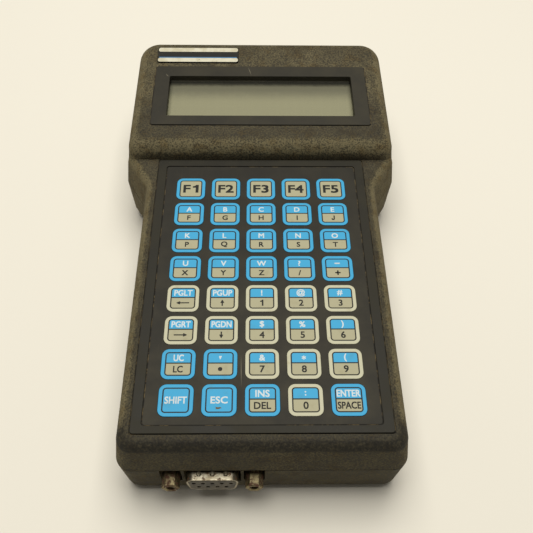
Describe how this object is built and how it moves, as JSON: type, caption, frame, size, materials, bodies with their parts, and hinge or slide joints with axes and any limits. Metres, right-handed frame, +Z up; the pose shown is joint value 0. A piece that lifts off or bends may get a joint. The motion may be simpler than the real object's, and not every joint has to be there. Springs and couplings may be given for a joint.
{
  "type": "handheld data collector",
  "caption": "Handheld data collector with a wide display head, a membrane keypad on a narrower grip and a serial connector on the front end.",
  "frame": {"origin": "middle of the whole object's box, on the plane of the underside", "axes": "+X to the user's right, +Y along the grip from the connector end to the display head, +Z up out of the keys"},
  "size_m": [0.1036, 0.1814, 0.0422],
  "materials": {
    "case_plastic": "fine spark-textured black moulding with khaki dust",
    "trim_plastic": "smooth satin black moulding",
    "overlay_film": "matt printed film",
    "key_ink_blue": "printed sky-blue rim under matt film",
    "key_ink_cream": "printed off-white rim under matt film",
    "circuit_film": "printed switch film",
    "board_laminate": "solder-masked laminate",
    "connector_plate": "tinned steel, spotted with rust",
    "connector_plastic": "moulded insulator, dusty",
    "aged_brass": "tarnished and rust-stained",
    "black_steel": "blackened screw",
    "clear_pane": "clear pane, lightly hazed",
    "display_glass": "olive-grey reflective display",
    "tinplate": "folded tinplate",
    "plate_foil": "printed cream and black foil plate"
  },
  "bodies": {
    "case": {"upper_case": "case_plastic", "lower_case": "case_plastic", "keypad_frame": "trim_plastic", "display_bezel": "trim_plastic", "keypad_overlay": "overlay_film", "keypad_circuit": "circuit_film", "main_board": "board_laminate", "lcd_board": "board_laminate", "connector_shell": "connector_plate", "connector_insulator": "connector_plastic", "jackscrew_left": "aged_brass", "jackscrew_right": "aged_brass", "case_screw_front_left": "black_steel", "case_screw_front_right": "black_steel", "case_screw_rear_left": "black_steel", "case_screw_rear_right": "black_steel", "display_window": "clear_pane", "lcd_glass": "display_glass", "lcd_frame": "tinplate", "nameplate": "plate_foil"},
    "key_f1": {"key_f1": "key_ink_blue"},
    "key_f2": {"key_f2": "key_ink_blue"},
    "key_f3": {"key_f3": "key_ink_blue"},
    "key_f4": {"key_f4": "key_ink_blue"},
    "key_f5": {"key_f5": "key_ink_blue"},
    "key_a_f": {"key_a_f": "key_ink_blue"},
    "key_b_g": {"key_b_g": "key_ink_blue"},
    "key_c_h": {"key_c_h": "key_ink_blue"},
    "key_d_i": {"key_d_i": "key_ink_blue"},
    "key_e_j": {"key_e_j": "key_ink_blue"},
    "key_k_p": {"key_k_p": "key_ink_blue"},
    "key_l_q": {"key_l_q": "key_ink_blue"},
    "key_m_r": {"key_m_r": "key_ink_blue"},
    "key_n_s": {"key_n_s": "key_ink_blue"},
    "key_o_t": {"key_o_t": "key_ink_blue"},
    "key_u_x": {"key_u_x": "key_ink_blue"},
    "key_v_y": {"key_v_y": "key_ink_blue"},
    "key_w_z": {"key_w_z": "key_ink_blue"},
    "key_question_slash": {"key_question_slash": "key_ink_blue"},
    "key_minus_plus": {"key_minus_plus": "key_ink_blue"},
    "key_page_left": {"key_page_left": "key_ink_cream"},
    "key_page_up": {"key_page_up": "key_ink_cream"},
    "key_1": {"key_1": "key_ink_cream"},
    "key_2": {"key_2": "key_ink_cream"},
    "key_3": {"key_3": "key_ink_cream"},
    "key_page_right": {"key_page_right": "key_ink_cream"},
    "key_page_down": {"key_page_down": "key_ink_cream"},
    "key_4": {"key_4": "key_ink_cream"},
    "key_5": {"key_5": "key_ink_cream"},
    "key_6": {"key_6": "key_ink_cream"},
    "key_upper_lower": {"key_upper_lower": "key_ink_blue"},
    "key_quote_dot": {"key_quote_dot": "key_ink_blue"},
    "key_7": {"key_7": "key_ink_cream"},
    "key_8": {"key_8": "key_ink_cream"},
    "key_9": {"key_9": "key_ink_cream"},
    "key_shift": {"key_shift": "key_ink_blue"},
    "key_escape": {"key_escape": "key_ink_blue"},
    "key_insert_delete": {"key_insert_delete": "key_ink_blue"},
    "key_0": {"key_0": "key_ink_cream"},
    "key_enter_space": {"key_enter_space": "key_ink_blue"}
  },
  "joints": [
    {"name": "key_f1_press", "type": "slide", "parent": "case", "child": "key_f1", "axis": [0, 0, -1], "range_m": [0, 0.0004], "stiffness_N_per_m": 1500},
    {"name": "key_f2_press", "type": "slide", "parent": "case", "child": "key_f2", "axis": [0, 0, -1], "range_m": [0, 0.0004], "stiffness_N_per_m": 1500},
    {"name": "key_f3_press", "type": "slide", "parent": "case", "child": "key_f3", "axis": [0, 0, -1], "range_m": [0, 0.0004], "stiffness_N_per_m": 1500},
    {"name": "key_f4_press", "type": "slide", "parent": "case", "child": "key_f4", "axis": [0, 0, -1], "range_m": [0, 0.0004], "stiffness_N_per_m": 1500},
    {"name": "key_f5_press", "type": "slide", "parent": "case", "child": "key_f5", "axis": [0, 0, -1], "range_m": [0, 0.0004], "stiffness_N_per_m": 1500},
    {"name": "key_a_f_press", "type": "slide", "parent": "case", "child": "key_a_f", "axis": [0, 0, -1], "range_m": [0, 0.0004], "stiffness_N_per_m": 1500},
    {"name": "key_b_g_press", "type": "slide", "parent": "case", "child": "key_b_g", "axis": [0, 0, -1], "range_m": [0, 0.0004], "stiffness_N_per_m": 1500},
    {"name": "key_c_h_press", "type": "slide", "parent": "case", "child": "key_c_h", "axis": [0, 0, -1], "range_m": [0, 0.0004], "stiffness_N_per_m": 1500},
    {"name": "key_d_i_press", "type": "slide", "parent": "case", "child": "key_d_i", "axis": [0, 0, -1], "range_m": [0, 0.0004], "stiffness_N_per_m": 1500},
    {"name": "key_e_j_press", "type": "slide", "parent": "case", "child": "key_e_j", "axis": [0, 0, -1], "range_m": [0, 0.0004], "stiffness_N_per_m": 1500},
    {"name": "key_k_p_press", "type": "slide", "parent": "case", "child": "key_k_p", "axis": [0, 0, -1], "range_m": [0, 0.0004], "stiffness_N_per_m": 1500},
    {"name": "key_l_q_press", "type": "slide", "parent": "case", "child": "key_l_q", "axis": [0, 0, -1], "range_m": [0, 0.0004], "stiffness_N_per_m": 1500},
    {"name": "key_m_r_press", "type": "slide", "parent": "case", "child": "key_m_r", "axis": [0, 0, -1], "range_m": [0, 0.0004], "stiffness_N_per_m": 1500},
    {"name": "key_n_s_press", "type": "slide", "parent": "case", "child": "key_n_s", "axis": [0, 0, -1], "range_m": [0, 0.0004], "stiffness_N_per_m": 1500},
    {"name": "key_o_t_press", "type": "slide", "parent": "case", "child": "key_o_t", "axis": [0, 0, -1], "range_m": [0, 0.0004], "stiffness_N_per_m": 1500},
    {"name": "key_u_x_press", "type": "slide", "parent": "case", "child": "key_u_x", "axis": [0, 0, -1], "range_m": [0, 0.0004], "stiffness_N_per_m": 1500},
    {"name": "key_v_y_press", "type": "slide", "parent": "case", "child": "key_v_y", "axis": [0, 0, -1], "range_m": [0, 0.0004], "stiffness_N_per_m": 1500},
    {"name": "key_w_z_press", "type": "slide", "parent": "case", "child": "key_w_z", "axis": [0, 0, -1], "range_m": [0, 0.0004], "stiffness_N_per_m": 1500},
    {"name": "key_question_slash_press", "type": "slide", "parent": "case", "child": "key_question_slash", "axis": [0, 0, -1], "range_m": [0, 0.0004], "stiffness_N_per_m": 1500},
    {"name": "key_minus_plus_press", "type": "slide", "parent": "case", "child": "key_minus_plus", "axis": [0, 0, -1], "range_m": [0, 0.0004], "stiffness_N_per_m": 1500},
    {"name": "key_page_left_press", "type": "slide", "parent": "case", "child": "key_page_left", "axis": [0, 0, -1], "range_m": [0, 0.0004], "stiffness_N_per_m": 1500},
    {"name": "key_page_up_press", "type": "slide", "parent": "case", "child": "key_page_up", "axis": [0, 0, -1], "range_m": [0, 0.0004], "stiffness_N_per_m": 1500},
    {"name": "key_1_press", "type": "slide", "parent": "case", "child": "key_1", "axis": [0, 0, -1], "range_m": [0, 0.0004], "stiffness_N_per_m": 1500},
    {"name": "key_2_press", "type": "slide", "parent": "case", "child": "key_2", "axis": [0, 0, -1], "range_m": [0, 0.0004], "stiffness_N_per_m": 1500},
    {"name": "key_3_press", "type": "slide", "parent": "case", "child": "key_3", "axis": [0, 0, -1], "range_m": [0, 0.0004], "stiffness_N_per_m": 1500},
    {"name": "key_page_right_press", "type": "slide", "parent": "case", "child": "key_page_right", "axis": [0, 0, -1], "range_m": [0, 0.0004], "stiffness_N_per_m": 1500},
    {"name": "key_page_down_press", "type": "slide", "parent": "case", "child": "key_page_down", "axis": [0, 0, -1], "range_m": [0, 0.0004], "stiffness_N_per_m": 1500},
    {"name": "key_4_press", "type": "slide", "parent": "case", "child": "key_4", "axis": [0, 0, -1], "range_m": [0, 0.0004], "stiffness_N_per_m": 1500},
    {"name": "key_5_press", "type": "slide", "parent": "case", "child": "key_5", "axis": [0, 0, -1], "range_m": [0, 0.0004], "stiffness_N_per_m": 1500},
    {"name": "key_6_press", "type": "slide", "parent": "case", "child": "key_6", "axis": [0, 0, -1], "range_m": [0, 0.0004], "stiffness_N_per_m": 1500},
    {"name": "key_upper_lower_press", "type": "slide", "parent": "case", "child": "key_upper_lower", "axis": [0, 0, -1], "range_m": [0, 0.0004], "stiffness_N_per_m": 1500},
    {"name": "key_quote_dot_press", "type": "slide", "parent": "case", "child": "key_quote_dot", "axis": [0, 0, -1], "range_m": [0, 0.0004], "stiffness_N_per_m": 1500},
    {"name": "key_7_press", "type": "slide", "parent": "case", "child": "key_7", "axis": [0, 0, -1], "range_m": [0, 0.0004], "stiffness_N_per_m": 1500},
    {"name": "key_8_press", "type": "slide", "parent": "case", "child": "key_8", "axis": [0, 0, -1], "range_m": [0, 0.0004], "stiffness_N_per_m": 1500},
    {"name": "key_9_press", "type": "slide", "parent": "case", "child": "key_9", "axis": [0, 0, -1], "range_m": [0, 0.0004], "stiffness_N_per_m": 1500},
    {"name": "key_shift_press", "type": "slide", "parent": "case", "child": "key_shift", "axis": [0, 0, -1], "range_m": [0, 0.0004], "stiffness_N_per_m": 1500},
    {"name": "key_escape_press", "type": "slide", "parent": "case", "child": "key_escape", "axis": [0, 0, -1], "range_m": [0, 0.0004], "stiffness_N_per_m": 1500},
    {"name": "key_insert_delete_press", "type": "slide", "parent": "case", "child": "key_insert_delete", "axis": [0, 0, -1], "range_m": [0, 0.0004], "stiffness_N_per_m": 1500},
    {"name": "key_0_press", "type": "slide", "parent": "case", "child": "key_0", "axis": [0, 0, -1], "range_m": [0, 0.0004], "stiffness_N_per_m": 1500},
    {"name": "key_enter_space_press", "type": "slide", "parent": "case", "child": "key_enter_space", "axis": [0, 0, -1], "range_m": [0, 0.0004], "stiffness_N_per_m": 1500}
  ]
}
